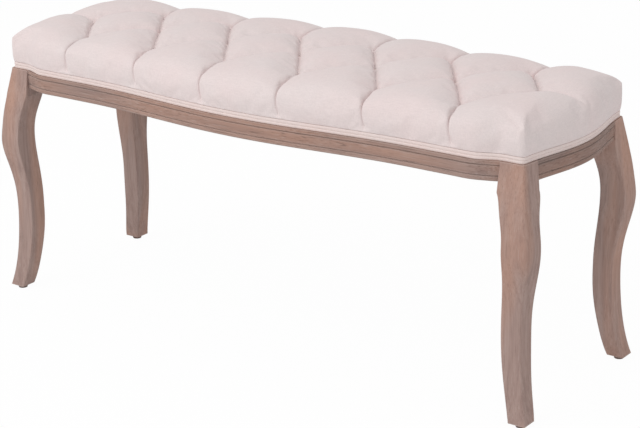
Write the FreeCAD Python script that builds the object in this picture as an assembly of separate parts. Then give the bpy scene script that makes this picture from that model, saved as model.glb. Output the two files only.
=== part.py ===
import FreeCAD, Part
import math
import os

# Upholstered bench: a deep-tufted seat on a serpentine frame with four cabriole legs.
# Millimetres. X is the length, Y the depth with the front at -Y, Z is up.
# The origin is on the floor, under the middle of the seat.

V = FreeCAD.Vector
UP = V(0, 0, 1)
os.makedirs("parts", exist_ok=True)

# Clearances
soft_gap = 0.3          # between soft layers and what they wrap
fastener_gap = 0.1      # round screws, bolts, nails and dowels
overshoot = 1.0         # how far a cut runs past the face it opens

# Floor glides
glide_height = 7.0
glide_top_diameter = 19.0
glide_foot_diameter = 16.0
nail_diameter = 2.6
nail_length = 20.0
nail_head_diameter = 7.0
nail_head_height = 1.5

# Legs
leg_height = 411.0      # bare wood, from the glide up to the upholstery
foot_corner_x = 546.9
foot_corner_y = 174.9
ear_share = 0.888       # where the inner faces become upright, just under the rails
inner_edge_radius = 2.0
leg_chamfer = 10.0      # flat on the inner corner, against the corner block
# Each station: share of the leg height, outward shift of the outer corner along X and Y,
# width of the square section, radius of its outer corner
leg_stations = [
    (0.00, 0.0, 0.0, 30.5, 2.5),
    (0.063, -6.2, -5.6, 31.4, 2.5),
    (0.165, -13.4, -9.9, 32.8, 2.5),
    (0.30, -17.5, -12.5, 34.8, 3.0),
    (0.41, -17.2, -12.6, 35.3, 4.0),
    (0.49, -13.4, -10.6, 37.2, 5.0),
    (0.585, -5.6, -3.6, 41.8, 7.0),
    (0.655, -1.5, 1.8, 44.8, 8.0),
    (0.725, -2.7, 1.2, 44.0, 8.0),
    (0.795, -6.9, -1.6, 44.4, 7.0),
    (0.845, -9.8, -5.9, 46.2, 6.0),
]
ear_shift_x = -13.0
ear_shift_y = -9.2
ear_outer_radius = 5.0
top_shift_x = -20.8
top_shift_y = -20.7
top_width_x = 40.8      # along the front face
top_width_y = 34.2      # along the side face
top_splay_x = 4.5       # how far the side face leans out towards the rail
top_splay_y = 2.8       # how far the front face leans out towards the rail
top_outer_radius = 4.0

# Plan of the rails, as the outer show face
front_corner_depth = 155.0      # half depth where the rail meets the leg
front_shoulder = 15.0           # step out beside the leg
front_shoulder_start = 490.0
front_shoulder_run = 50.0
front_bow = 23.0
front_bow_half_length = 340.0
end_corner_reach = 526.0        # half length beside the leg
end_bow = 22.5
end_bow_half_length = 165.0
corner_radius = 10.0

# Rails
rail_show_height = 32.0
rail_thickness = 24.0           # at the leg
frame_lip = 12.0                # hidden tacking lip above the show wood
bead_height = 8.0
bead_relief = 0.6
groove_depth = 2.6
groove_half_width = 1.4
strip_height = 7.0
bottom_ease = 2.0

# Corner blocks and their fasteners
block_thickness = 28.0
block_lift = 4.0                # above the underside of the rails
bolt_diameter = 8.0
bolt_in_leg = 26.0
bolt_tail = 12.0
washer_diameter = 22.0
washer_thickness = 2.0
nut_width = 13.0
nut_height = 6.5
screw_diameter = 4.0
screw_head_diameter = 8.0
screw_head_height = 2.6
block_screw_grip = 9.0          # wood of the block under the screw head
block_screw_inset = 21.0        # from the outer end of the block, along the rail
access_bore_reach = 40.0        # from the screw head out through the block
access_bore_gap = 0.5           # round the screw head

# Cross rails
cross_rail_width = 40.0
cross_rail_height = 30.0
dowel_diameter = 8.0
dowel_length = 30.0
dowel_pitch = 20.0

# Seat board and its screws
board_thickness = 12.0
board_screw_length = 32.0
board_screw_inset = 8.0         # from the inner face of the rails
front_screw_pitch = 154.0
front_screw_count = 6           # along the front rail, and as many along the back
cross_screw_half_pitch = 60.0

# Upholstery
cover_thickness = 1.2
batting_thickness = 5.0
welt_inset = 1.2
welt_cord_diameter = 5.5
welt_crease = 0.9                # depth past which the crease beside a cord closes up
cord_levels = (0.0, 0.18, 0.5, 0.82)    # heights of the outlines of one cord, as shares of it
cover_inset = -1.5
side_roll = 8.0                 # height over which the side comes out above the frame
side_top = 42.0                 # height of the side above the show wood
crown_rise = 34.0               # from the top of the side to the crown
crown_run = 95.0                # over which the edge rounds in
crown_swell = 4.0               # extra height along the middle
tuft_pitch = 154.4
row_offset = 106.6              # front and back rows from the middle row
middle_row_count = 7
tuft_depth = 20.0
pleat_depth = 12.0
end_valley_depth = 9.0
edge_pleat_depth = 9.0
side_pleat_depth = 3.0
side_pleat_half_width = 9.0
tuft_pucker = 2.5               # half width of the gathered point
column_half_width = 0.5         # a section this near a tuft column lies in the pleat
shoulder_run = 26.0             # from the side to where the top begins
shoulder_share = 0.6            # least share of the half width left inside the shoulder
tuft_share = 0.8                # greatest share of the shoulder that a tuft may reach
end_tuft_share = 0.1            # the same share for the valley at the very ends
bend_share = 0.3                # where the shoulder arc passes, as a share of its run
bend_pleat_share = 0.6          # share of the edge pleat's depth left at that place
cell_bulge = 11.0               # fullness of the cells between the tufts
least_bulge = 0.4               # fullness left where a cell closes into a tuft
pucker_rise = 0.3               # rise between the two sides of a gathered point
centre_power = 0.8              # how soon the middle cells fill out from their tufts

# Twine through the tufts
twine_diameter = 1.6
twine_bore = 4.0
anchor_diameter = 14.0
anchor_thickness = 1.6

# Dust cover
dust_thickness = 0.8
dust_lap = 15.0                 # onto the underside of the rails
dust_notch_gap = 3.0            # round the legs
staple_width = 10.0
staple_wire = 0.9
staple_leg = 6.0
staple_pitch = 105.0
staple_end_pitch = 60.0
staples_per_side = 9
staples_per_end = 3

# Points that each long or short outline curve passes through, either side of its middle
long_steps = 20
short_steps = 8
long_pieces = 4         # splines end to end along a long side
width_halvings = 40     # of the span in which a half width is searched for

# Heights
foot_z = glide_height
show_top = foot_z + leg_height
rail_bottom = show_top - rail_show_height
frame_top = show_top + frame_lip
board_top = frame_top + board_thickness
side_top_z = show_top + side_top
block_bottom = rail_bottom + block_lift
bolt_z = (block_bottom + frame_top) / 2

# Places shared by several pieces
top_corner_x = foot_corner_x + top_shift_x
top_corner_y = foot_corner_y + top_shift_y
leg_inner_x = top_corner_x - top_width_x
leg_inner_y = top_corner_y - top_width_y
rail_inner_y = front_corner_depth - rail_thickness
rail_inner_x = end_corner_reach - rail_thickness
half_pitch = tuft_pitch / 2
last_tuft = (middle_row_count - 1) * half_pitch
cross_rail_x = 1.5 * half_pitch
cross_rail_bottom = frame_top - cross_rail_height
tuck = welt_inset + welt_cord_diameter + soft_gap - cover_inset
rebate_inset = cover_inset + tuck + cover_thickness + soft_gap
batting_inner = cover_thickness + soft_gap + batting_thickness
foam_inset = batting_inner + soft_gap
block_outer_sum = leg_inner_x + leg_inner_y + leg_chamfer
block_inner_sum = block_outer_sum - block_thickness * math.sqrt(2)
CORNERS = {"front_left": (-1, -1), "front_right": (1, -1), "back_left": (-1, 1), "back_right": (1, 1)}


def save(name, shape):
    shape.exportStep("parts/" + name + ".step")
    print(name, len(shape.Solids), "solids", round(shape.Volume / 1000.0, 2), "cm3", shape.isValid())


def in_corner(shape, name):
    """A piece modelled at the back right corner, mirrored to the named corner."""
    side_x, side_y = CORNERS[name]
    if side_x < 0:
        shape = shape.mirror(V(0, 0, 0), V(1, 0, 0))
    if side_y < 0:
        shape = shape.mirror(V(0, 0, 0), V(0, 1, 0))
    return shape


def ease(share):
    """Smooth step from 0 to 1."""
    share = min(1.0, max(0.0, share))
    return share * share * (3 - 2 * share)


def front_line(x):
    """Half depth of the show face at a place along the length."""
    shoulder = front_shoulder * ease((front_shoulder_start - abs(x)) / front_shoulder_run)
    bow = 0.0
    if abs(x) < front_bow_half_length:
        bow = front_bow * math.cos(math.pi / 2 * x / front_bow_half_length) ** 2
    return front_corner_depth + shoulder + bow


def end_line(y):
    """Half length of the show face at a place along the depth."""
    if abs(y) >= end_bow_half_length:
        return end_corner_reach
    return end_corner_reach + end_bow * math.cos(math.pi / 2 * y / end_bow_half_length) ** 2


def inside_distance(x, y):
    """How far a plan point lies inside the show face, with rounded corners."""
    from_front = front_line(x) - abs(y)
    from_end = end_line(y) - abs(x)
    if from_front < corner_radius and from_end < corner_radius:
        return corner_radius - math.hypot(corner_radius - from_front, corner_radius - from_end)
    return min(from_front, from_end)


def half_width(x, inset):
    """Half depth of the outline drawn in by inset, at a place along the length."""
    low = 0.0
    high = 2 * front_line(x)
    for _ in range(width_halvings):
        middle = (low + high) / 2
        if inside_distance(x, middle) > inset:
            low = middle
        else:
            high = middle
    return low


def bowed_edges(points, pieces):
    """Splines end to end through a run of points, with shared tangents where they meet."""
    whole = Part.BSplineCurve()
    whole.interpolate(points)
    span = (len(points) - 1) // pieces
    edges = []
    for start in range(0, len(points) - 1, span):
        run = points[start:start + span + 1]
        ends = [whole.tangent(whole.parameter(end))[0] for end in (run[0], run[-1])]
        curve = Part.BSplineCurve()
        curve.interpolate(Points=run, InitialTangent=ends[0], FinalTangent=ends[1])
        edges.append(curve.toShape())
    return edges


def extrude(wire, height):
    return Part.Face(wire).extrude(V(0, 0, height))


def polygon_prism(points, bottom, top):
    corners = [V(x, y, bottom) for x, y in points]
    return extrude(Part.makePolygon(corners + corners[:1]), top - bottom)


def rod(start, direction, length, diameter):
    return Part.makeCylinder(diameter / 2, length, start, direction)


def outline_wire(inset, z):
    """The plan outline, drawn in by inset: four bowed sides and four rounded corners."""
    x_centre = end_corner_reach - corner_radius
    y_centre = front_corner_depth - corner_radius
    radius = corner_radius - inset
    front = []
    for i in range(2 * long_steps + 1):
        x = x_centre * (i / long_steps - 1)
        front.append(V(x, -(front_line(x) - inset), z))
    right = []
    for i in range(2 * short_steps + 1):
        y = y_centre * (i / short_steps - 1)
        right.append(V(end_line(y) - inset, y, z))
    back = [V(-p.x, -p.y, z) for p in front]
    left = [V(-p.x, -p.y, z) for p in right]
    sides = [front, right, back, left]
    corner_signs = [(1, -1), (1, 1), (-1, 1), (-1, -1)]
    reach = radius * math.sqrt(0.5)
    edges = []
    for index, (sign_x, sign_y) in enumerate(corner_signs):
        edges += bowed_edges(sides[index], 1 if index % 2 else long_pieces)
        middle = V(sign_x * (x_centre + reach), sign_y * (y_centre + reach), z)
        start = sides[index][-1]
        end = sides[(index + 1) % 4][0]
        edges.append(Part.Arc(start, middle, end).toShape())
    return Part.Wire(edges)


def rounded_quad(corners, radii, z):
    """A closed wire of four lines and four tangent arcs."""
    edges = []
    joints = []
    for i in range(4):
        corner = V(corners[i][0], corners[i][1], z)
        before = V(corners[i - 1][0], corners[i - 1][1], z)
        after = V(corners[(i + 1) % 4][0], corners[(i + 1) % 4][1], z)
        to_before = (before - corner).normalize()
        to_after = (after - corner).normalize()
        half_angle = to_before.getAngle(to_after) / 2
        setback = radii[i] / math.tan(half_angle)
        bisector = (to_before + to_after).normalize()
        centre = corner + bisector * (radii[i] / math.sin(half_angle))
        joints.append((corner + to_before * setback, centre - bisector * radii[i], corner + to_after * setback))
    for i in range(4):
        start, middle, end = joints[i]
        edges.append(Part.Arc(start, middle, end).toShape())
        edges.append(Part.LineSegment(end, joints[(i + 1) % 4][0]).toShape())
    return Part.Wire(edges)


def leg_section(z, outer, inner, splay, outer_radius):
    """A leg section from its outer and inner corners, the outer faces splayed."""
    corners = [outer, (inner[0], outer[1] + splay[1]), inner, (outer[0] + splay[0], inner[1])]
    radii = [outer_radius, inner_edge_radius, inner_edge_radius, inner_edge_radius]
    return rounded_quad(corners, radii, z)


def screw(head_centre, direction, length, gap):
    """A countersunk screw, or with a gap the hole for it. The head is flush."""
    head = Part.makeCone(
        screw_head_diameter / 2 + gap, screw_diameter / 2 + gap, screw_head_height, head_centre, direction)
    shank = rod(head_centre, direction, length + gap, screw_diameter + 2 * gap)
    return head.fuse(shank).removeSplitter()


def board_screw_places():
    places = []
    for i in range(front_screw_count):
        x = (i - (front_screw_count - 1) / 2) * front_screw_pitch
        for side in (-1, 1):
            places.append((x, side * (rail_inner_y + board_screw_inset)))
    for side in (-1, 1):
        places.append((side * (rail_inner_x + board_screw_inset), 0.0))
        for row in (-1, 1):
            places.append((side * cross_rail_x, row * cross_screw_half_pitch))
    return places


def board_screws(gap):
    return [screw(V(x, y, board_top), -UP, board_screw_length, gap) for x, y in board_screw_places()]


def block_screw_heads():
    """Head centres and directions of the two screws of the back right corner block."""
    into_back = V(block_outer_sum - rail_inner_y - block_screw_inset, rail_inner_y - block_screw_grip, bolt_z)
    into_end = V(rail_inner_x - block_screw_grip, block_outer_sum - rail_inner_x - block_screw_inset, bolt_z)
    return [(into_back, V(0, 1, 0)), (into_end, V(1, 0, 0))]


def block_screws(gap):
    """Two screws of the back right corner block, one into each rail."""
    length = block_screw_grip + rail_thickness / 2
    return [screw(head, direction, length, gap) for head, direction in block_screw_heads()]


def block_screw_bores():
    """Access bores in front of the heads of the block screws."""
    bore = screw_head_diameter + 2 * access_bore_gap
    return [rod(head, -direction, access_bore_reach, bore) for head, direction in block_screw_heads()]


def bolt_start():
    """Middle of the leg's inner flat, where the hanger bolt comes out."""
    spread = (leg_inner_x - leg_inner_y) / 2
    return V(block_outer_sum / 2 + spread, block_outer_sum / 2 - spread, bolt_z)


BOLT_AXIS = V(-1, -1, 0).normalize()


def bolt(gap):
    start = bolt_start() - BOLT_AXIS * (bolt_in_leg + gap)
    tail = washer_thickness + nut_height + bolt_tail
    return rod(start, BOLT_AXIS, bolt_in_leg + block_thickness + tail + gap, bolt_diameter + 2 * gap)


def dowels(gap):
    """Two dowels at each end of each cross rail."""
    pins = []
    middle_z = frame_top - cross_rail_height / 2
    for side_x in (-1, 1):
        for side_y in (-1, 1):
            for step in (-0.5, 0.5):
                y = side_y * (rail_inner_y - dowel_length / 2 - gap)
                start = V(side_x * cross_rail_x + step * dowel_pitch, y, middle_z)
                pins.append(rod(start, V(0, side_y, 0), dowel_length + 2 * gap, dowel_diameter + 2 * gap))
    return pins


def glide_centre():
    width = leg_stations[0][3]
    return V(foot_corner_x - width / 2, foot_corner_y - width / 2, 0)


def nail(gap):
    head_z = glide_height - nail_head_height
    base = glide_centre() + V(0, 0, head_z - gap)
    head = rod(base, UP, nail_head_height + gap, nail_head_diameter + 2 * gap)
    shank = rod(base, UP, nail_length + 2 * gap, nail_diameter + 2 * gap)
    return head.fuse(shank).removeSplitter()


def make_leg():
    """The back right leg: a cabriole shaft, the ears between the rails and the hidden top."""
    sections = []
    for share, shift_x, shift_y, width, radius in leg_stations:
        outer = (foot_corner_x + shift_x, foot_corner_y + shift_y)
        inner = (outer[0] - width, outer[1] - width)
        sections.append(leg_section(foot_z + share * leg_height, outer, inner, (0, 0), radius))
    inner = (leg_inner_x, leg_inner_y)
    ear_corner = (foot_corner_x + ear_shift_x, foot_corner_y + ear_shift_y)
    ear = leg_section(foot_z + ear_share * leg_height, ear_corner, inner, (0, 0), ear_outer_radius)
    top_corner = (top_corner_x, top_corner_y)
    top = leg_section(show_top, top_corner, inner, (top_splay_x, top_splay_y), top_outer_radius)
    shaft = Part.makeLoft(sections + [ear], True, False)
    ears = Part.makeLoft([ear, top], True, True)
    lip = extrude(top, frame_lip).common(extrude(outline_wire(rebate_inset, show_top), frame_lip))
    leg = shaft.fuse([ears, lip])
    low = leg_inner_x - leg_chamfer
    near = leg_inner_y - leg_chamfer
    chamfer_plan = [(low, block_outer_sum - low), (block_outer_sum - near, near), (low, near)]
    leg = leg.cut(polygon_prism(chamfer_plan, rail_bottom, frame_top + overshoot))
    return leg.cut([bolt(fastener_gap), nail(fastener_gap)])


def rail_profile():
    """Height above the underside of the rail, and how far the face stands back."""
    bead_top = bead_height
    strip = rail_show_height - strip_height
    middle = (bead_top + strip) / 2
    return [
        (0.0, bottom_ease),
        (bottom_ease, 0.0),
        (bead_top - groove_half_width, bead_relief),
        (bead_top, groove_depth),
        (bead_top + groove_half_width, bead_relief),
        (middle, 0.0),
        (strip - groove_half_width, bead_relief),
        (strip, groove_depth),
        (strip + groove_half_width, 0.0),
        (rail_show_height, 0.0),
    ]


def make_back_rail():
    """The back rail: a bowed, reeded show face, a straight inner face and the lip."""
    wires = []
    for height, relief in rail_profile():
        z = rail_bottom + height
        outer = []
        for i in range(2 * long_steps + 1):
            x = leg_inner_x * (i / long_steps - 1)
            outer.append(V(x, front_line(x) - relief, z))
        inner_right = V(leg_inner_x, rail_inner_y, z)
        inner_left = V(-leg_inner_x, rail_inner_y, z)
        edges = bowed_edges(outer, long_pieces) + [
            Part.LineSegment(outer[-1], inner_right).toShape(),
            Part.LineSegment(inner_right, inner_left).toShape(),
            Part.LineSegment(inner_left, outer[0]).toShape(),
        ]
        wires.append(Part.Wire(edges))
    show = Part.makeLoft(wires, True, True)
    reach = 2 * front_corner_depth
    band = Part.makeBox(2 * leg_inner_x, reach, frame_lip, V(-leg_inner_x, rail_inner_y, show_top))
    lip = band.common(extrude(outline_wire(rebate_inset, show_top), frame_lip))
    return show.fuse(lip)


def make_right_rail():
    """The right rail, between the two right legs."""
    wires = []
    for height, relief in rail_profile():
        z = rail_bottom + height
        outer = []
        for i in range(2 * short_steps + 1):
            y = leg_inner_y * (i / short_steps - 1)
            outer.append(V(end_line(y) - relief, y, z))
        inner_back = V(rail_inner_x, leg_inner_y, z)
        inner_front = V(rail_inner_x, -leg_inner_y, z)
        edges = bowed_edges(outer, 1) + [
            Part.LineSegment(outer[-1], inner_back).toShape(),
            Part.LineSegment(inner_back, inner_front).toShape(),
            Part.LineSegment(inner_front, outer[0]).toShape(),
        ]
        wires.append(Part.Wire(edges))
    show = Part.makeLoft(wires, True, True)
    reach = 2 * rail_thickness + end_bow
    band = Part.makeBox(reach, 2 * leg_inner_y, frame_lip, V(rail_inner_x, -leg_inner_y, show_top))
    lip = band.common(extrude(outline_wire(rebate_inset, show_top), frame_lip))
    return show.fuse(lip)


def make_block():
    """The back right corner block, across the corner between two rails."""
    plan = [
        (block_outer_sum - rail_inner_y, rail_inner_y),
        (block_inner_sum - rail_inner_y, rail_inner_y),
        (rail_inner_x, block_inner_sum - rail_inner_x),
        (rail_inner_x, block_outer_sum - rail_inner_x),
    ]
    block = polygon_prism(plan, block_bottom, frame_top)
    return block.cut([bolt(fastener_gap)] + block_screws(fastener_gap) + block_screw_bores())


def ring_on_bolt(distance, thickness, outer):
    """A ring or nut on the hanger bolt, outer being a face-on shape at the start."""
    start = bolt_start() + BOLT_AXIS * distance
    hole = rod(start, BOLT_AXIS, thickness, bolt_diameter + 2 * fastener_gap)
    return outer(start, thickness).cut(hole)


def washer_blank(start, thickness):
    return rod(start, BOLT_AXIS, thickness, washer_diameter)


def nut_blank(start, thickness):
    across = BOLT_AXIS.cross(UP)
    points = []
    for i in range(7):
        angle = math.pi / 3 * i
        reach = nut_width / math.sqrt(3)
        points.append(start + across * (reach * math.cos(angle)) + UP * (reach * math.sin(angle)))
    return Part.Face(Part.makePolygon(points)).extrude(BOLT_AXIS * thickness)


def tuft_places():
    """Plan points of the tufts: a middle row and two staggered outer rows."""
    places = []
    for i in range(middle_row_count):
        places.append((i * tuft_pitch - last_tuft, 0.0))
    for i in range(middle_row_count - 1):
        x = (i + 0.5) * tuft_pitch - last_tuft
        places.append((x, -row_offset))
        places.append((x, row_offset))
    return places


def end_distance(x, layer):
    """How far a place along the length lies inside the end of the cushion."""
    return end_line(0) - cover_inset - layer - abs(x)


def untufted_top(x, y, layer):
    """Height of the cushion above the floor before tufting, this far inside the cover."""
    distance = inside_distance(x, y) - cover_inset - layer
    share = min(1.0, max(0.0, distance / (crown_run - layer)))
    dome = (crown_rise - layer) * math.sqrt(1 - (1 - share) ** 2)
    swell = crown_swell * math.cos(math.pi / 2 * min(1.0, abs(y) / front_corner_depth)) ** 2
    return side_top_z + dome + swell * min(1.0, max(0.0, end_distance(x, layer)) / crown_run)


def tuft_phase(x):
    """0 at the columns of the middle row, 1 at those of the outer rows."""
    place = (abs(x) / half_pitch) % 2
    return place if place <= 1 else 2 - place


def cushion_section(x, layer, bottom, drawn_in):
    """Cross section of the tufted cushion, as lines and shallow arcs.

    layer is how far the form lies inside the cover's outer face, and drawn_in how far
    its lower edge is pulled in under the sides.
    """
    inset = cover_inset + layer
    phase = tuft_phase(x)
    beyond = abs(x) - last_tuft
    settle = min(1.0, max(0.0, end_distance(x, layer)) / crown_run)
    wide = half_width(x, inset)
    if beyond > 0:
        phase = 0.0
    nearest_outer = abs((abs(x) / half_pitch) % 2 - 1) * half_pitch
    in_pleat = beyond <= 0 and nearest_outer < column_half_width
    side = wide - (side_pleat_depth if in_pleat else 0.0)
    shoulder = max(side - shoulder_run, shoulder_share * side)
    tuft_y = min(tuft_pucker + (row_offset - tuft_pucker) * phase, tuft_share * shoulder)
    if beyond > 0:
        tuft_y = min(tuft_pucker, end_tuft_share * side)
        dip = end_valley_depth + (tuft_depth - end_valley_depth) * max(0.0, 1 - beyond / half_pitch)
        dip = dip * settle
    else:
        sharpness = math.cos(math.pi * x / half_pitch) ** 2
        dip = pleat_depth + (tuft_depth - pleat_depth) * sharpness

    edge_dip = edge_pleat_depth if in_pleat else 0.0
    tuft_z = untufted_top(x, tuft_y, layer) - dip
    shoulder_z = untufted_top(x, shoulder, layer) - edge_dip
    bend_y = side - bend_share * (side - shoulder)
    bend_z = untufted_top(x, bend_y, layer) - bend_pleat_share * edge_dip
    outer_bulge = least_bulge + cell_bulge * (1 - phase ** 2) * settle
    outer_y = (shoulder + tuft_y) / 2
    outer_z = (shoulder_z + tuft_z) / 2 + outer_bulge
    centre_z = tuft_z + pucker_rise + (untufted_top(x, 0.0, layer) - tuft_z) * phase ** centre_power
    low = side - drawn_in * min(1.0, side / corner_radius)

    tuck_z = max(frame_top, bottom + overshoot)
    roll_z = max(frame_top + side_roll, tuck_z + overshoot)
    left = [V(x, -low, bottom), V(x, -low, tuck_z), V(x, -side, roll_z), V(x, -side, side_top_z)]
    right = [V(x, -p.y, p.z) for p in left]
    shoulder_left = V(x, -shoulder, shoulder_z)
    shoulder_right = V(x, shoulder, shoulder_z)
    tuft_left = V(x, -tuft_y, tuft_z)
    tuft_right = V(x, tuft_y, tuft_z)
    edges = [
        Part.LineSegment(left[0], left[1]),
        Part.LineSegment(left[1], left[2]),
        Part.LineSegment(left[2], left[3]),
        Part.Arc(left[3], V(x, -bend_y, bend_z), shoulder_left),
        Part.Arc(shoulder_left, V(x, -outer_y, outer_z), tuft_left),
        Part.Arc(tuft_left, V(x, 0, centre_z), tuft_right),
        Part.Arc(tuft_right, V(x, outer_y, outer_z), shoulder_right),
        Part.Arc(shoulder_right, V(x, bend_y, bend_z), right[3]),
        Part.LineSegment(right[3], right[2]),
        Part.LineSegment(right[2], right[1]),
        Part.LineSegment(right[1], right[0]),
        Part.LineSegment(right[0], left[0]),
    ]
    return Part.Wire([edge.toShape() for edge in edges])


# Distances from the end of the cushion at which its rounded end has a section
END_STEPS = (0.4, 2.0, 5.0, 9.0, 13.0, 17.0, 20.0, 22.5, 26.0, 32.0, 44.0, 60.0)


def cushion_form(layer, bottom, drawn_in):
    """The tufted cushion as one loft along the length, this far inside the cover."""
    half = [end_distance(0.0, layer) - step for step in END_STEPS]
    for i in range(middle_row_count):
        column = i * half_pitch
        half.append(column)
        if i > 0:
            half.append(column - half_pitch / 2)
        if i % 2 == 1:
            half.append(column - side_pleat_half_width)
            half.append(column + side_pleat_half_width)
    places = sorted(set([-x for x in half] + half))
    wires = [cushion_section(x, layer, bottom, drawn_in) for x in places]
    return Part.makeLoft(wires, True, True)


def twine_bores(bottom, top):
    return [rod(V(x, y, bottom), UP, top - bottom, twine_bore) for x, y in tuft_places()]


def tuft_floor(x, y):
    """Underside of the cover at a tuft."""
    return untufted_top(x, y, cover_thickness) - tuft_depth


def twine(x, y):
    """From the underside of the seat board up to the cover."""
    return rod(V(x, y, frame_top), UP, tuft_floor(x, y) - soft_gap - frame_top, twine_diameter)


def anchor(x, y):
    """The disc that holds a twine under the seat board."""
    return rod(V(x, y, frame_top), -UP, anchor_thickness, anchor_diameter)


def make_cover():
    outer = cushion_form(0.0, show_top + soft_gap, tuck)
    inner = cushion_form(cover_thickness, show_top - soft_gap, tuck)
    return outer.cut(inner)


def make_batting():
    layer = cover_thickness + soft_gap
    outer = cushion_form(layer, frame_top + soft_gap, tuck)
    inner = cushion_form(batting_inner, frame_top - soft_gap, 0.0)
    return outer.cut([inner] + twine_bores(board_top, side_top_z + crown_rise))


def make_foam():
    form = cushion_form(foam_inset, board_top, 0.0)
    return form.cut(twine_bores(board_top - overshoot, side_top_z + crown_rise))


def make_welt():
    """Double piping: two cords side by side, round the foot of the cover."""
    cord = welt_cord_diameter
    levels = []
    for lift in (0.0, cord):
        for share in cord_levels:
            back = cord / 2 - math.sqrt(max(0.0, 0.25 - (share - 0.5) ** 2)) * cord
            levels.append((show_top + lift + share * cord, welt_inset + min(back, welt_crease + back / 2)))
    levels.append((show_top + 2 * cord, welt_inset + welt_crease + cord / 4))
    body = Part.makeLoft([outline_wire(inset, z) for z, inset in levels], True, True)
    core = extrude(outline_wire(welt_inset + cord, show_top - overshoot), 2 * (cord + overshoot))
    return body.cut(core)


def make_board():
    board = extrude(outline_wire(rebate_inset, frame_top), board_thickness)
    bores = twine_bores(frame_top - overshoot, board_top + overshoot)
    return board.cut(bores + board_screws(fastener_gap))


def make_cross_rail(side):
    corner = V(side * cross_rail_x - cross_rail_width / 2, -rail_inner_y, cross_rail_bottom)
    rail = Part.makeBox(cross_rail_width, 2 * rail_inner_y, cross_rail_height, corner)
    return rail.cut(dowels(fastener_gap) + board_screws(fastener_gap))


def staple_places():
    """Plan point and direction of each staple of the dust cover."""
    inset = dust_lap / 2
    places = []
    for i in range(staples_per_side):
        x = (i - (staples_per_side - 1) / 2) * staple_pitch
        for side in (-1, 1):
            places.append((x, side * (rail_inner_y + inset), V(1, 0, 0)))
    for i in range(staples_per_end):
        y = (i - (staples_per_end - 1) / 2) * staple_end_pitch
        for side in (-1, 1):
            places.append((side * (rail_inner_x + inset), y, V(0, 1, 0)))
    return places


def staple(x, y, along, gap):
    """A wire staple driven up through the dust cover."""
    under = rail_bottom - dust_thickness - staple_wire
    half = along * (staple_width / 2)
    wire = staple_wire + 2 * gap
    across = V(along.y, along.x, 0)
    corner = V(x, y, under - gap) - half - across * (wire / 2) - along * gap
    span = along * (staple_width + 2 * gap) + across * wire
    crown = Part.makeBox(span.x, span.y, wire, corner)
    leg_length = dust_thickness + staple_wire + staple_leg + 2 * gap
    foot = along * wire + across * wire
    first = Part.makeBox(foot.x, foot.y, leg_length, corner)
    second = Part.makeBox(foot.x, foot.y, leg_length, corner + along * (staple_width - staple_wire))
    return crown.fuse([first, second]).removeSplitter()


def staples(gap):
    return [staple(x, y, along, gap) for x, y, along in staple_places()]


def make_dust_cover():
    """A thin cloth under the frame, notched round the legs."""
    half_x = rail_inner_x + dust_lap
    half_y = rail_inner_y + dust_lap
    base = rail_bottom - dust_thickness
    sheet = Part.makeBox(2 * half_x, 2 * half_y, dust_thickness, V(-half_x, -half_y, base))
    notches = []
    for side_x, side_y in CORNERS.values():
        x = side_x * (leg_inner_x - dust_notch_gap)
        y = side_y * (leg_inner_y - dust_notch_gap)
        plan = [(x, y), (2 * x, y), (2 * x, 2 * y), (x, 2 * y)]
        notches.append(polygon_prism(plan, base - overshoot, rail_bottom + overshoot))
    return sheet.cut(notches + staples(fastener_gap))


def build():
    leg = make_leg()
    block = make_block()
    for name in CORNERS:
        save("leg_" + name, in_corner(leg, name))
        save("corner_block_" + name, in_corner(block, name))

    rail_holes = board_screws(fastener_gap) + dowels(fastener_gap) + staples(fastener_gap)
    for name in CORNERS:
        rail_holes += [in_corner(shape, name) for shape in block_screws(fastener_gap)]
    back_rail = make_back_rail()
    right_rail = make_right_rail()
    save("back_rail", back_rail.cut(rail_holes))
    save("front_rail", back_rail.mirror(V(0, 0, 0), V(0, 1, 0)).cut(rail_holes))
    save("right_rail", right_rail.cut(rail_holes))
    save("left_rail", right_rail.mirror(V(0, 0, 0), V(1, 0, 0)).cut(rail_holes))

    save("left_cross_rail", make_cross_rail(-1))
    save("right_cross_rail", make_cross_rail(1))
    save("cross_rail_dowels", Part.makeCompound(dowels(0.0)))

    washer = ring_on_bolt(block_thickness, washer_thickness, washer_blank)
    nut = ring_on_bolt(block_thickness + washer_thickness, nut_height, nut_blank)
    save("hanger_bolts", Part.makeCompound([in_corner(bolt(0.0), name) for name in CORNERS]))
    save("bolt_washers", Part.makeCompound([in_corner(washer, name) for name in CORNERS]))
    save("bolt_nuts", Part.makeCompound([in_corner(nut, name) for name in CORNERS]))
    pairs = [in_corner(shape, name) for name in CORNERS for shape in block_screws(0.0)]
    save("block_screws", Part.makeCompound(pairs))

    save("seat_board", make_board())
    save("board_screws", Part.makeCompound(board_screws(0.0)))
    save("foam_pad", make_foam())
    save("batting", make_batting())
    save("seat_cover", make_cover())
    save("double_welt", make_welt())
    save("tuft_twines", Part.makeCompound([twine(x, y) for x, y in tuft_places()]))
    save("tuft_anchors", Part.makeCompound([anchor(x, y) for x, y in tuft_places()]))

    save("dust_cover", make_dust_cover())
    save("dust_cover_staples", Part.makeCompound(staples(0.0)))

    glide = Part.makeCone(glide_foot_diameter / 2, glide_top_diameter / 2, glide_height, glide_centre(), UP)
    glide = glide.cut(nail(fastener_gap))
    for name in CORNERS:
        save("glide_" + name, in_corner(glide, name))
    save("glide_nails", Part.makeCompound([in_corner(nail(0.0), name) for name in CORNERS]))


build()
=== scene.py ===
import math

import bmesh
import bpy
import numpy as np
from mathutils import Euler, Matrix, Vector
from mathutils.geometry import delaunay_2d_cdt


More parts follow.
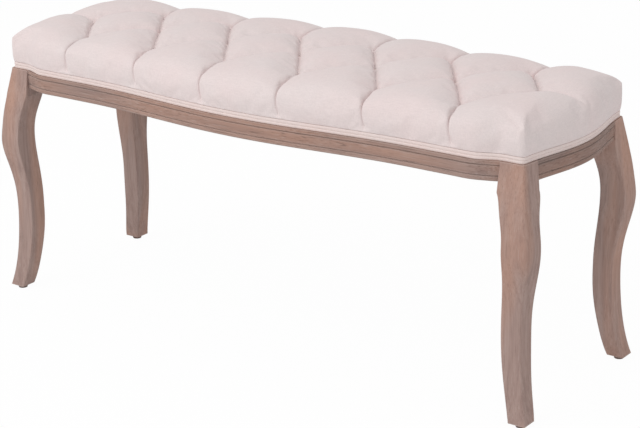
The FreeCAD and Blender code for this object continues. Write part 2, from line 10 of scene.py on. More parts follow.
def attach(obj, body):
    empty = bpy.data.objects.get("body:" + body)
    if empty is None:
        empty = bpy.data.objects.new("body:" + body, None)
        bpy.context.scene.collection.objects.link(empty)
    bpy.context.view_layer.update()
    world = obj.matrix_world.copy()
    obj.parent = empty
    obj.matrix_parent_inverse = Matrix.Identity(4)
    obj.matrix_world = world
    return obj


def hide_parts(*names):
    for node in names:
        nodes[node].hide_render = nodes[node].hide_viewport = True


# Upholstered bench in metres: X along the seat, front at -Y, Z up, floor at 0.
# Shapes are worked out in millimetres, and MM turns them into metres.

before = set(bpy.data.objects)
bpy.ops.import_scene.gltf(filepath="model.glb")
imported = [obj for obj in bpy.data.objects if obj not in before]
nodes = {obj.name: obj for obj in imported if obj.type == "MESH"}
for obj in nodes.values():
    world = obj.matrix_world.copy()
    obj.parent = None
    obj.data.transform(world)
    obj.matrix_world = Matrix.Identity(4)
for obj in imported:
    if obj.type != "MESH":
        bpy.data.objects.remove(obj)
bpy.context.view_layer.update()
scene = bpy.context.scene

MM = 0.001

# Plan of the show wood
FRONT_CORNER_DEPTH = 155.0
FRONT_SHOULDER = 15.0
SHOULDER_START = 490.0
SHOULDER_RUN = 50.0
FRONT_BOW = 23.0
FRONT_BOW_HALF = 340.0
END_REACH = 526.0
END_BOW = 22.5
END_BOW_HALF = 165.0
CORNER_RADIUS = 10.0

# Heights
RAIL_BOTTOM = 386.0
SHOW_TOP = 418.0
COVER_FOOT = 419.0
FRAME_TOP = 430.0
BOARD_TOP = 442.0
CROWN_BASE = 460.0

# Places of the tufts
PITCH = 154.4
ROW = 106.6
LAST_TUFT = 463.2
TUFT_COUNT = 7              # in the middle row; the outer rows have one less
NEXT_TO = 1.0               # play when neighbouring tufts are paired

# Crown of the cushion
COVER_OUT = 0.5             # how far the cover stands out past the show wood
CROWN_RISE = 34.0
CROWN_RUN = 90.0
LEFT_END_RUN = 104.0
RIGHT_END_RUN = 70.0
CROWN_SWELL = 4.0
CROWN_FULLNESS = 2.6        # 2 is a round shoulder, more is squarer

# Cells between the creases, with the depth of a crease at its start, middle and end
CELL_CREASE = (20.0, 13.5, 20.0)
PLEAT_CREASE = (20.0, 10.0, 2.5)
END_CREASE = (20.0, 9.0, 2.0)
CELL_REACH = 64.0           # from a crease to the crown of a cell
CELL_POWER = 2.2            # how steeply a cell rises from its creases

# Folds along the creases
FOLD_WIDTH = 1.6
DEEP_FOLD = 9.0             # folds that run from back left to front right, and pleats
SHALLOW_FOLD = 1.5
DEEPEST_FOLD = 31.0
DEEPEST_TUFT = 20.6         # leaves the twines under the cover
TWINE_CLEARANCE = 4.0

# Puckers and gathers round each tuft
PUCKER_DEPTH = 3.0
PUCKER_WIDTH = 7.0
GATHERS = 9
GATHER_HEIGHT = 0.6
GATHER_REACH = 15.0

# Pleats from the outer tufts over the side: how far each runs along X on its way to the foot
PLEAT_SLANT = {-386.0: 6.0, -231.6: 16.6, -77.2: 17.0, 77.2: 19.0, 231.6: 19.4, 386.0: 21.0}
PLEAT_TURN = 0.75           # share of a pleat's slant that lies on the top
LONG_SIDE = 0.8             # share of the front line's depth where a long side begins
PLEAT_FOOT = 431.0          # height where a pleat ends
PLEAT_FADE = 6.0
SIDE_FOLD = 2.6
SIDE_HOLLOW = 2.4
SIDE_HOLLOW_WIDTH = 11.0

# Steps of the cushion's mesh
SPAN_STEPS = (24, 28, 28, 28, 28, 28, 24)
CORNER_STEPS = 9
END_STEPS = 46
CELL_STEPS = 24
UNDERSIDE_STEPS = 4
CROWDING = 0.8              # how far vertices crowd towards the pleats and creases
LATTICE_CELLS = 8
LATTICE_GAP = 1.2
MEET_LIMIT = 1e-5           # points closer than this are one
INSIDE_ONLY = 1             # kind of triangulation that keeps to the inside of the loop

# Rings of the cushion: height and inset up the side, from the foot of the cover to its
# shoulder, and then shares of the way from the side to the outer tufts
SIDE_RINGS = ((COVER_FOOT, 7.0), (429.05, 7.0), (429.1, 3.6), (429.4, 2.5), (430.4, 1.9), (432.4, 1.5),
              (435.5, 1.0), (439.5, 0.6), (444.0, 0.2), (448.5, 0.0), (453.0, -0.1), (457.0, -0.1))
CROWN_RINGS = (0.0, 0.012, 0.03, 0.055, 0.09, 0.13, 0.18, 0.24,
               0.31, 0.39, 0.48, 0.58, 0.69, 0.8, 0.9, 1.0)
INNER_Y = ROW + 3.0
INNER_X = LAST_TUFT + 16.0
CORNER_GROWTH = 34.0
LEAST_CORNER = 1.5
SHOULDER_LIFT_START = 442.0
SHOULDER_DROP = 6.0         # the most that a crease pulls the shoulder down
DRAW_FADE = 0.18            # share of the crown over which the draw of the side folds fades

# Underside of the cushion
SKIRT_INSET = 8.15
BOARD_CLEARANCE = 0.5

# Cloth simulation of the cushion, with its pins
PUFF_FRAMES = 16
LAST_FRAME = 20
MOST_PUFF = 6.0
PINNED_BELOW = 432.0
CREASES_ABOVE = 462.0
PINNED_CREASE = 0.8
CREASE_PIN = 0.95
PINNED_TUFT = 4.0
TINY = 1e-9
CLOTH = {
    "quality": 6, "mass": 0.3, "tension_stiffness": 12, "compression_stiffness": 4,
    "shear_stiffness": 4, "bending_stiffness": 0.6, "air_damping": 2, "vertex_group_mass": "held",
    "use_pressure": True, "uniform_pressure_force": 5.0, "shrink_min": -0.02,
}

# Double welt: two half-round cords on one strip
WELT_INSET = 5.7
WELT_BACK = -0.9
WELT_LOW = 0.1
WELT_HIGH = 10.9
CORD_CENTRES = (2.75, 8.25)
CORD_OUT = 2.6
CORD_BULGE = 1.0
CORD_HALF_HEIGHT = 2.65
CORD_STEPS = 8

# Dust sheet under the frame
SHEET_HALF_X = 517.0
SHEET_HALF_Y = 146.0
NOTCH_X = 482.3
NOTCH_Y = 117.0
SHEET_STEPS_X = 94
SHEET_STEPS_Y = 32
SHEET_DROP = 0.4
SHEET_THICKNESS = 0.6
SAG = 1.6
SAG_RIPPLE = 0.3
RIPPLE_X = 0.02
RIPPLE_Y = 0.03
HELD_X = 502.0              # the sheet is held by its staples from here outwards
HELD_Y = 131.0
SAG_RUN = 60


def ease(share):
    """A share from 0 to 1 that starts and ends gently."""
    share = np.clip(share, 0.0, 1.0)
    return share * share * (3 - 2 * share)


def front_line(x):
    """Depth of the show wood's front at x: a serpentine with a bow in its middle."""
    x = np.abs(x)
    bow = FRONT_BOW * np.cos(math.pi / 2 * np.minimum(x, FRONT_BOW_HALF) / FRONT_BOW_HALF) ** 2
    return FRONT_CORNER_DEPTH + FRONT_SHOULDER * ease((SHOULDER_START - x) / SHOULDER_RUN) + bow


def end_line(y):
    """Reach of the show wood's bowed end at y."""
    y = np.minimum(np.abs(y), END_BOW_HALF)
    return END_REACH + END_BOW * np.cos(math.pi / 2 * y / END_BOW_HALF) ** 2


def tufts():
    """Plan points of the tufts: a middle row of seven and two outer rows of six."""
    middle = [(i * PITCH - LAST_TUFT, 0.0) for i in range(TUFT_COUNT)]
    outer = [((i + 0.5) * PITCH - LAST_TUFT, side * ROW)
             for i in range(TUFT_COUNT - 1) for side in (-1, 1)]
    return middle, outer


MIDDLE_TUFTS, OUTER_TUFTS = tufts()


def creases():
    """Each crease as two plan ends, depths at its start, middle and end, and its fold."""
    lines = []
    for mx, my in MIDDLE_TUFTS:
        for ox, oy in OUTER_TUFTS:
            if abs(abs(mx - ox) - PITCH / 2) < NEXT_TO:
                fold = DEEP_FOLD if (ox - mx) * oy < 0 else SHALLOW_FOLD
                lines.append(((mx, my), (ox, oy), CELL_CREASE, fold))
    for ox, oy in OUTER_TUFTS:
        side = math.copysign(1, oy)
        turn = PLEAT_TURN * PLEAT_SLANT[round(ox, 1)]
        edge = float(front_line(ox)) + COVER_OUT
        lines.append(((ox, oy), (ox + turn, side * edge), PLEAT_CREASE, DEEP_FOLD))
    for side in (-1, 1):
        end = (side * (END_REACH + END_BOW + COVER_OUT), 0.0)
        lines.append(((side * LAST_TUFT, 0.0), end, END_CREASE, SHALLOW_FOLD))
    return lines


CREASES = creases()


def untufted(x, y):
    """Height of the cushion's top before tufting."""
    from_end = np.maximum(end_line(y) + COVER_OUT - np.abs(x), 0.0)
    from_front = np.maximum(front_line(x) + COVER_OUT - np.abs(y), 0.0)
    from_end = from_end * CROWN_RUN / np.where(x < 0, LEFT_END_RUN, RIGHT_END_RUN)
    rounded = from_end + from_front - np.hypot(from_end, from_front)
    mitred = np.minimum(from_end, from_front)
    share = np.clip((0.5 * rounded + 0.5 * mitred) / CROWN_RUN, 0.0, 1.0)
    dome = CROWN_RISE * (1 - (1 - share) ** CROWN_FULLNESS) ** (1 / CROWN_FULLNESS)
    swell = CROWN_SWELL * np.cos(math.pi / 2 * np.minimum(np.abs(y) / FRONT_CORNER_DEPTH, 1)) ** 2
    return CROWN_BASE + dome + swell * np.minimum(from_end / CROWN_RUN, 1.0)


def near_crease(x, y, start, end):
    """Share along a crease and distance from it, for plan points."""
    (ax, ay), (bx, by) = start, end
    length = math.hypot(bx - ax, by - ay)
    ux, uy = (bx - ax) / length, (by - ay) / length
    along = np.clip((x - ax) * ux + (y - ay) * uy, 0.0, length)
    return along / length, np.hypot(x - ax - along * ux, y - ay - along * uy)


def crease_dip(x, y):
    """How far the tufting pulls the top down at plan points, as round cells between creases."""
    dip = np.zeros_like(x)
    fold = np.zeros_like(x)
    deepest = np.full_like(x, DEEPEST_FOLD)
    for start, end, (near, middle, far), depth in CREASES:
        share, away = near_crease(x, y, start, end)
        # a curve through the three depths, steepest beside the tufts
        first = middle + (near - middle) * (1 - 2 * share) ** 2
        second = middle + (far - middle) * (2 * share - 1) ** 2
        sag = np.where(share < 0.5, first, second)
        reach = np.clip(away / CELL_REACH, 0.0, 1.0)
        dip = np.maximum(dip, sag * (1 - reach) ** CELL_POWER)
        fold = np.maximum(fold, depth * np.exp(-away / FOLD_WIDTH))
    for tx, ty in MIDDLE_TUFTS + OUTER_TUFTS:
        away = np.hypot(x - tx, y - ty)
        dip += PUCKER_DEPTH * np.exp(-(away / PUCKER_WIDTH) ** 2)
        angle = np.arctan2(y - ty, x - tx)
        gather = np.sin(GATHERS * angle + tx) * np.exp(-away / GATHER_REACH)
        dip += GATHER_HEIGHT * gather * np.clip(away / PUCKER_WIDTH, 0.0, 1.0)
        deepest -= (DEEPEST_FOLD - DEEPEST_TUFT) * np.exp(-(away / TWINE_CLEARANCE) ** 2)
    return np.minimum(dip + fold, deepest)


def top_height(x, y):
    """Height of the tufted top at plan points."""
    return untufted(x, y) - crease_dip(x, y)


def side_fold(x, y, z, level):
    """How far the long sides are drawn in beside each pleat line."""
    on_long_side = np.abs(y) > LONG_SIDE * front_line(x)
    fade = np.clip((z - PLEAT_FOOT) / PLEAT_FADE, 0.0, 1.0)
    depth = np.zeros(len(x))
    for tuft_x, slant in PLEAT_SLANT.items():
        away = np.abs(x - (tuft_x + slant * level))
        hollow = SIDE_HOLLOW * np.exp(-away / SIDE_HOLLOW_WIDTH)
        depth = np.maximum(depth, SIDE_FOLD * np.exp(-away / FOLD_WIDTH) + hollow)
    return np.where(on_long_side, depth * fade, 0.0)


# Meshes

def crowded(steps):
    """Shares from 0 to 1, closer together near both ends."""
    even = np.linspace(0.0, 1.0, steps + 1)
    return CROWDING * (0.5 - 0.5 * np.cos(math.pi * even)) + (1 - CROWDING) * even


def round_corner(start, end, first_along_x):
    """Points between the ends of two sides, on a quarter of an ellipse."""
    turn = np.linspace(0, math.pi / 2, CORNER_STEPS + 1)[1:-1]
    first, second = np.sin(turn)[:, None], 1 - np.cos(turn)[:, None]
    along = np.array([1.0, 0.0]) if first_along_x else np.array([0.0, 1.0])
    step = end - start
    return start + step * along * first + step * (1 - along) * second


def ring(inset, level, share=0.0):
    """One closed ring of plan points, the same count for every ring.

    inset draws the outline in, and share takes it on towards the outer tufts. level is 0 at
    the tufts and 1 at the foot, and slants the pleats that a line of vertices follows.
    """
    size = max(CORNER_RADIUS - inset, LEAST_CORNER) + CORNER_GROWTH * share
    reach = (END_REACH - inset) * (1 - share) + INNER_X * share - size
    knots = [-reach] + [x + slant * level for x, slant in PLEAT_SLANT.items()] + [reach]
    spans = [a + (b - a) * crowded(steps)[:-1] for a, b, steps in zip(knots, knots[1:], SPAN_STEPS)]
    xs = np.concatenate(spans + [knots[-1:]])
    front = np.stack([xs, -((front_line(xs) - inset) * (1 - share) + INNER_Y * share)], 1)
    half = (FRONT_CORNER_DEPTH - inset) * (1 - share) + INNER_Y * share - size
    ys = np.linspace(-half, half, END_STEPS + 1)
    right = np.stack([(end_line(ys) - inset) * (1 - share) + INNER_X * share, ys], 1)
    back = (front * np.array([1.0, -1.0]))[::-1]
    left = right[::-1] * np.array([-1.0, 1.0])
    return np.concatenate([front, round_corner(front[-1], right[0], True),
                           right, round_corner(right[-1], back[0], False),
                           back, round_corner(back[-1], left[0], True),
                           left, round_corner(left[-1], front[0], False)])


def band(lower, upper, count):
    """Quads between two rings whose vertices start at lower and upper."""
    around = [(i, (i + 1) % count) for i in range(count)]
    return [(lower + i, lower + j, upper + j, upper + i) for i, j in around]


def link(name, data):
    """A new object in the scene."""
    obj = bpy.data.objects.new(name, data)
    scene.collection.objects.link(obj)
    return obj


def mesh_object(name, verts, faces):
    """An object from vertices in millimetres and faces."""
    mesh = bpy.data.meshes.new(name)
    points = [tuple(v * MM) for v in np.asarray(verts, float)]
    mesh.from_pydata(points, [], [tuple(int(i) for i in face) for face in faces])
    mesh.validate()
    mesh.update()
    return link(name, mesh)


def bmesh_object(name, bm):
    """An object from an edit mesh in metres, which is freed."""
    mesh = bpy.data.meshes.new(name)
    bm.to_mesh(mesh)
    bm.free()
    return link(name, mesh)


def shade_smooth(obj):
    obj.data.polygons.foreach_set("use_smooth", [True] * len(obj.data.polygons))


def coordinates(obj):
    """The vertices of a mesh object as rows of x, y and z in metres."""
    flat = np.zeros(len(obj.data.vertices) * 3)
    obj.data.vertices.foreach_get("co", flat)
    return flat.reshape(-1, 3)


def inside_loop(points, loop):
    """Which points lie inside a closed loop."""
    x, y = points[:, 0], points[:, 1]
    inside = np.zeros(len(points), bool)
    for (x0, y0), (x1, y1) in zip(loop, np.roll(loop, -1, 0)):
        crosses = (y0 > y) != (y1 > y)
        with np.errstate(divide="ignore", invalid="ignore"):
            at = (x1 - x0) * (y - y0) / (y1 - y0) + x0
        inside ^= crosses & (x < at)
    return inside


def distance_to_loop(points, loop):
    """Distance from each point to the nearest point of a loop."""
    best = np.full(len(points), np.inf)
    for p in loop:
        best = np.minimum(best, np.hypot(points[:, 0] - p[0], points[:, 1] - p[1]))
    return best


def fill(loop, steps):
    """Plan points and triangles inside a loop, on a lattice whose lines follow the creases."""
    cells = range(-LATTICE_CELLS, LATTICE_CELLS)
    line = np.concatenate([cell + crowded(steps)[:-1] for cell in cells])
    u, v = np.meshgrid(line, line)
    lattice = np.stack([(u + v).ravel() * PITCH / 2, (u - v).ravel() * ROW], 1)
    reach_x, reach_y = np.abs(loop).max(0)
    lattice = lattice[(np.abs(lattice[:, 0]) < reach_x) & (np.abs(lattice[:, 1]) < reach_y)]
    clear = distance_to_loop(lattice, loop) > LATTICE_GAP
    plan = np.concatenate([loop, lattice[inside_loop(lattice, loop) & clear]])
    edges = [(k, (k + 1) % len(loop)) for k in range(len(loop))]
    points = [Vector(p) for p in plan]
    _, _, triangles, origins, _, _ = delaunay_2d_cdt(points, edges, [], INSIDE_ONLY, MEET_LIMIT)
    return plan, [[origins[k][0] for k in triangle] for triangle in triangles]


def drawn_in(plan, heights, level, share=1.0):
    """A ring's x, y and z, with its long sides drawn in beside the pleats."""
    x, y = plan.T
    return x, y - np.sign(y) * side_fold(x, y, heights, level) * share, heights


def make_cushion():
    """The tufted cover as one open form: sides, shoulder and diamond cells."""
    # the shoulder is lifted with the cells that it meets
    meet = top_height(*ring(-COVER_OUT, PLEAT_TURN).T) - CROWN_BASE
    rows = []
    for z, inset in SIDE_RINGS:
        level = 1 - (1 - PLEAT_TURN) * max(z - FRAME_TOP, 0.0) / (CROWN_BASE - FRAME_TOP)
        plan = ring(inset, level)
        lift = ease((z - SHOULDER_LIFT_START) / (CROWN_BASE - SHOULDER_LIFT_START))
        rows.append(drawn_in(plan, z + np.maximum(meet, -SHOULDER_DROP) * lift, level))
    for share in CROWN_RINGS:
        level = PLEAT_TURN * (1 - share)
        plan = ring(0.0, level, share)
        # the draw of the side folds fades out over the shoulder
        rows.append(drawn_in(plan, top_height(*plan.T), level, 1 - ease(share / DRAW_FADE)))
    count = len(plan)
    verts = [point for row in rows for point in zip(*row)]
    faces = [face for r in range(len(rows) - 1) for face in band(r * count, (r + 1) * count, count)]

    crown = (len(rows) - 1) * count
    plan, triangles = fill(plan, CELL_STEPS)
    heights = top_height(*plan.T)
    index = [crown + k if k < count else len(verts) + k - count for k in range(len(plan))]
    verts += [(x, y, z) for (x, y), z in zip(plan[count:], heights[count:])]
    faces += [[index[k] for k in triangle] for triangle in triangles]
    return mesh_object("cushion", verts, faces), count


def puff_up(obj):
    """Cloth under light pressure, held at the tufts, along the creases and at the foot."""
    rest = coordinates(obj)
    x, y, z = (rest / MM).T
    held = np.zeros(len(rest))
    held[z < PINNED_BELOW] = 1.0
    for start, end, _, _ in CREASES:
        _, away = near_crease(x, y, start, end)
        on_crease = (z > CREASES_ABOVE) & (away < PINNED_CREASE)
        held = np.maximum(held, np.where(on_crease, CREASE_PIN, 0.0))
    for tx, ty in MIDDLE_TUFTS + OUTER_TUFTS:
        held[np.hypot(x - tx, y - ty) < PINNED_TUFT] = 1.0
    group = obj.vertex_groups.new(name="held")
    for i in np.nonzero(held)[0]:
        group.add([int(i)], float(held[i]), "REPLACE")
    cloth = obj.modifiers.new("cloth", "CLOTH")
    for key, value in CLOTH.items():
        setattr(cloth.settings, key, value)
    cloth.settings.effector_weights.gravity = 0
    cloth.collision_settings.use_collision = False
    scene.frame_start = 1
    scene.frame_end = LAST_FRAME
    for step in range(1, PUFF_FRAMES + 1):
        scene.frame_set(step)
    move = coordinates(obj.evaluated_get(bpy.context.evaluated_depsgraph_get())) - rest
    far = np.linalg.norm(move, axis=1)
    move *= np.minimum(1.0, MOST_PUFF * MM / np.maximum(far, TINY))[:, None]
    obj.modifiers.remove(cloth)
    scene.frame_set(1)
    obj.data.vertices.foreach_set("co", (rest + move).ravel())
    obj.data.update()


def close_underside(obj, count):
    """Carries the foot of the cover up behind the frame lip and across over the seat board."""
    over_board = BOARD_TOP + BOARD_CLEARANCE
    plan, triangles = fill(ring(SKIRT_INSET, 1.0), UNDERSIDE_STEPS)
    bm = bmesh.new()
    bm.from_mesh(obj.data)
    bm.verts.ensure_lookup_table()

    def add(points, z):
        return [bm.verts.new((x * MM, y * MM, z * MM)) for x, y in points]

    row = bm.verts[:count]
    for z in (COVER_FOOT, over_board):
        below, row = row, add(plan[:count], z)
        for i in range(count):
            j = (i + 1) % count
            bm.faces.new((below[j], below[i], row[i], row[j]))
    row += add(plan[count:], over_board)
    for triangle in triangles:
        bm.faces.new([row[k] for k in reversed(triangle)])
    bmesh.ops.recalc_face_normals(bm, faces=bm.faces)
    bm.to_mesh(obj.data)
    bm.free()


def make_welt():
    """Double welt: two soft cords side by side in one strip, swept round the foot."""
    profile = []
    for centre in CORD_CENTRES:
        for k in range(CORD_STEPS + 1):
            turn = -math.pi / 2 + math.pi * k / CORD_STEPS
            out = CORD_OUT + CORD_BULGE * math.cos(turn)
            profile.append((out, centre + CORD_HALF_HEIGHT * math.sin(turn)))
    profile += [(WELT_BACK, WELT_HIGH), (WELT_BACK, WELT_LOW)]
    rings = [ring(WELT_INSET - out, 1.0) for out, _ in profile]
    count = len(rings[0])
    verts = [(x, y, SHOW_TOP + up) for plan, (_, up) in zip(rings, profile) for x, y in plan]
    faces = []
    for r in range(len(rings)):
        faces += band(r * count, ((r + 1) % len(rings)) * count, count)
    welt = mesh_object("double_welt_cloth", verts, faces)
    shade_smooth(welt)
    return welt


def sheet_lines(half, steps, notch):
    """Grid lines across the sheet, with one at each notch."""
    lines = np.concatenate([np.linspace(-half, half, steps + 1), [-notch, notch]])
    return sorted(set(np.round(lines, 3)))


def sheet_height(x, y):
    """The sheet hangs a little between its staples."""
    free_y = min(1.0, max(0.0, (HELD_Y - abs(y)) / SAG_RUN))
    free_x = min(1.0, max(0.0, (HELD_X - abs(x)) / SAG_RUN))
    ripple = SAG_RIPPLE * math.sin(x * RIPPLE_X) * math.cos(y * RIPPLE_Y)
    return RAIL_BOTTOM - SHEET_DROP - SAG * (free_y * free_x) * (1 + ripple)


def make_dust_sheet():
    """The cloth under the frame, stretched between its staples and notched round the legs."""
    xs = sheet_lines(SHEET_HALF_X, SHEET_STEPS_X, NOTCH_X)
    ys = sheet_lines(SHEET_HALF_Y, SHEET_STEPS_Y, NOTCH_Y)
    bm = bmesh.new()
    grid = [[bm.verts.new((x * MM, y * MM, sheet_height(x, y) * MM)) for y in ys] for x in xs]
    for i in range(len(xs) - 1):
        for j in range(len(ys) - 1):
            in_notch_x = abs(xs[i] + xs[i + 1]) / 2 > NOTCH_X
            in_notch_y = abs(ys[j] + ys[j + 1]) / 2 > NOTCH_Y
            if not (in_notch_x and in_notch_y):
                bm.faces.new((grid[i][j], grid[i + 1][j], grid[i + 1][j + 1], grid[i][j + 1]))
    loose = [v for v in bm.verts if not v.link_faces]
    bmesh.ops.delete(bm, geom=loose, context="VERTS")
    sheet = bmesh_object("dust_sheet", bm)
    shade_smooth(sheet)
    solid = sheet.modifiers.new("thickness", "SOLIDIFY")
    solid.thickness = SHEET_THICKNESS * MM
    solid.offset = 0
    return sheet


# Materials

BLACK = (0, 0, 0)
WHITE = (1, 1, 1)
# Sockets of the mix node when it mixes colours
MIX_FACTOR, MIX_A, MIX_B, MIX_RESULT = 0, 6, 7, 2

# Display colours of 0 to 255
WOOD_BANDS = ((0.34, (154, 130, 123)), (0.5, (165, 140, 132)), (0.66, (172, 148, 140)))
WARM_WOOD = (192, 147, 126)
PORES = (104, 85, 79)
LIME = (200, 186, 179)
# colour of the painted highlight along the sharp edges of the wood
EDGE_HIGHLIGHT = (196, 178, 170)
LINEN = (229, 215, 214)
WELT_LINEN = (231, 214, 210)
SOFTWOOD = ((212, 186, 146), (186, 154, 112))

# How strongly each layer covers the wood
WARM_SHARE = 0.55
PORE_SHARE = 0.3
LIME_SHARE = 0.26
# share and reach of the painted highlight along the edges
HIGHLIGHT_SHARE = 0.6
HIGHLIGHT_RADIUS = 0.0035      # metres from an edge

# Stretch of a noise along X, Y and Z: a small number draws it out along that axis
EVEN = (1, 1, 1)
WARP = (0.10, 1, 0.6)
WEFT = (1, 0.10, 0.6)
UPRIGHT = (1, 1, 0.12)
FIBRE = 0.022
FLAME = 0.12
PLANK_FIBRE = 0.05
VENEER_FIBRE = 0.08
LINEN_RELIEF = 0.0004       # metres
FINE_RELIEF = 0.0002


def new_material(name):
    """A new material with its node tree and its surface shader."""
    material = bpy.data.materials.new(name)
    material.use_nodes = True
    tree = material.node_tree
    return material, tree, tree.nodes["Principled BSDF"]


def set_inputs(made, values):
    for key, value in values.items():
        made.inputs[key].default_value = value


def feed(tree, slot, value):
    """Puts a number or a colour in a slot, or links an output to it."""
    if isinstance(value, (int, float)):
        slot.default_value = value
    elif isinstance(value, tuple):
        slot.default_value = (*value, 1.0)
    else:
        tree.links.new(value, slot)


def along(axis, share):
    """A noise stretch that draws out along one axis."""
    return tuple(share if letter == axis else 1 for letter in "xyz")


def noise(tree, stretch, scale, detail, roughness, distortion=0.0):
    """Noise over the object, drawn out by stretch."""
    coord = tree.nodes.new("ShaderNodeTexCoord")
    mapping = tree.nodes.new("ShaderNodeMapping")
    set_inputs(mapping, {"Scale": stretch})
    tree.links.new(coord.outputs["Object"], mapping.inputs["Vector"])
    made = tree.nodes.new("ShaderNodeTexNoise")
    set_inputs(made, {"Scale": scale, "Detail": detail, "Roughness": roughness,
                      "Distortion": distortion})
    tree.links.new(mapping.outputs["Vector"], made.inputs["Vector"])
    return made.outputs["Fac"]


def ramp(tree, factor, stops):
    """A colour that follows factor through (place, colour) stops."""
    made = tree.nodes.new("ShaderNodeValToRGB")
    elements = made.color_ramp.elements
    while len(elements) < len(stops):
        elements.new(0.5)
    for element, (place, colour) in zip(elements, stops):
        element.position = place
        element.color = (*colour, 1.0)
    tree.links.new(factor, made.inputs["Fac"])
    return made.outputs["Color"]


def mask(tree, factor, black, white):
    """A share that is 0 where factor is black and 1 where it is white."""
    return ramp(tree, factor, sorted([(black, BLACK), (white, WHITE)]))


def math_node(tree, operation, a, b):
    made = tree.nodes.new("ShaderNodeMath")
    made.operation = operation
    feed(tree, made.inputs[0], a)
    feed(tree, made.inputs[1], b)
    return made.outputs[0]


def mix_colour(tree, factor, a, b, blend="MIX"):
    made = tree.nodes.new("ShaderNodeMix")
    made.data_type = "RGBA"
    made.blend_type = blend
    feed(tree, made.inputs[MIX_FACTOR], factor)
    feed(tree, made.inputs[MIX_A], a)
    feed(tree, made.inputs[MIX_B], b)
    return made.outputs[MIX_RESULT]


def add_bump(tree, shader, height, distance, strength):
    bump = tree.nodes.new("ShaderNodeBump")
    set_inputs(bump, {"Strength": strength, "Distance": distance})
    tree.links.new(height, bump.inputs["Height"])
    tree.links.new(bump.outputs["Normal"], shader.inputs["Normal"])


def linear(r, g, b):
    """A display colour of 0 to 255 as scene values."""
    shares = [c / 255 for c in (r, g, b)]
    return tuple(c / 12.92 if c <= 0.04045 else ((c + 0.055) / 1.055) ** 2.4 for c in shares)


def painted_edge_highlight(tree):
    """1 along the sharp edges of a piece and 0 on its flats, where the painted highlight goes."""
    bevel = tree.nodes.new("ShaderNodeBevel")
    bevel.samples = 4
    set_inputs(bevel, {"Radius": HIGHLIGHT_RADIUS})
    geometry = tree.nodes.new("ShaderNodeNewGeometry")
    dot = tree.nodes.new("ShaderNodeVectorMath")
    dot.operation = "DOT_PRODUCT"
    tree.links.new(bevel.outputs["Normal"], dot.inputs[0])
    tree.links.new(geometry.outputs["Normal"], dot.inputs[1])
    return mask(tree, dot.outputs["Value"], black=0.97, white=0.86)


def limed_wood(name, axis, painted_shade_tone=1.0, streaks=1.0):
    """Limed, wire-brushed wood with its grain along one axis and a painted highlight along its edges; a
    tone below 1 darkens it as painted shade.
    """
    material, tree, shader = new_material(name)
    grain = noise(tree, along(axis, FIBRE), scale=760.0, detail=4.0, roughness=0.55)
    bands = noise(tree, along(axis, FIBRE), scale=150.0, detail=3.0, roughness=0.5, distortion=0.2)
    patches = noise(tree, along(axis, FLAME), scale=20.0, detail=2.0, roughness=0.5)

    # a tone below 1 darkens every colour of the wood as painted shade
    def shaded(colour):
        return tuple(c * painted_shade_tone for c in linear(*colour))

    base = ramp(tree, bands, [(place, shaded(colour)) for place, colour in WOOD_BANDS])
    layers = (
        (mask(tree, patches, black=0.42, white=0.62), WARM_SHARE, WARM_WOOD),
        (mask(tree, grain, black=0.44, white=0.34), PORE_SHARE * streaks, PORES),
        (mask(tree, grain, black=0.58, white=0.70), LIME_SHARE * streaks, LIME),
        # painted highlight along the sharp edges
        (painted_edge_highlight(tree), HIGHLIGHT_SHARE, EDGE_HIGHLIGHT),
    )
    for cover, share, colour in layers:
        base = mix_colour(tree, math_node(tree, "MULTIPLY", cover, share), base, shaded(colour))
    tree.links.new(base, shader.inputs["Base Color"])
    rough = ramp(tree, grain, [(0.3, (0.85,) * 3), (0.7, (0.66,) * 3)])
    tree.links.new(rough, shader.inputs["Roughness"])
    set_inputs(shader, {"Specular IOR Level": 0.25})
    add_bump(tree, shader, grain, FINE_RELIEF, strength=0.4)
    return material


def linen(name, colour):
    """Plain linen weave with slubs, in line with the object's axes."""
    material, tree, shader = new_material(name)
    warp = noise(tree, WARP, scale=900.0, detail=3.0, roughness=0.6)
    weft = noise(tree, WEFT, scale=900.0, detail=3.0, roughness=0.6)
    upright = noise(tree, UPRIGHT, scale=800.0, detail=3.0, roughness=0.6)
    soft = noise(tree, EVEN, scale=14.0, detail=3.0, roughness=0.5)
    crossing = math_node(tree, "MULTIPLY", warp, weft)
    weave = math_node(tree, "ADD", crossing, math_node(tree, "MULTIPLY", upright, 0.5))
    light = tuple(min(1.0, c * 1.03) for c in linear(*colour))
    dark = tuple(c * 0.95 for c in linear(*colour))
    threads = ramp(tree, weave, [(0.38, dark), (0.62, light)])
    tint = ramp(tree, soft, [(0.35, (1.0, 0.985, 0.98)), (0.65, (0.985, 1.0, 0.995))])
    base = mix_colour(tree, 1.0, threads, tint, "MULTIPLY")
    tree.links.new(base, shader.inputs["Base Color"])
    set_inputs(shader, {"Roughness": 0.92, "Specular IOR Level": 0.15,
                        "Sheen Weight": 0.15, "Sheen Roughness": 0.5})
    add_bump(tree, shader, weave, LINEN_RELIEF, strength=0.6)
    return material


def mottled(name, light, dark, scale, roughness, metallic=0.0, stretch=EVEN):
    """A surface whose colour wanders between two tones, with a fine relief."""
    material, tree, shader = new_material(name)
    field = noise(tree, stretch, scale, detail=4.0, roughness=0.6)
    tones = ramp(tree, field, [(0.35, linear(*dark)), (0.65, linear(*light))])
    tree.links.new(tones, shader.inputs["Base Color"])
    set_inputs(shader, {"Roughness": roughness, "Metallic": metallic})
    add_bump(tree, shader, field, FINE_RELIEF, strength=0.6)
    return material


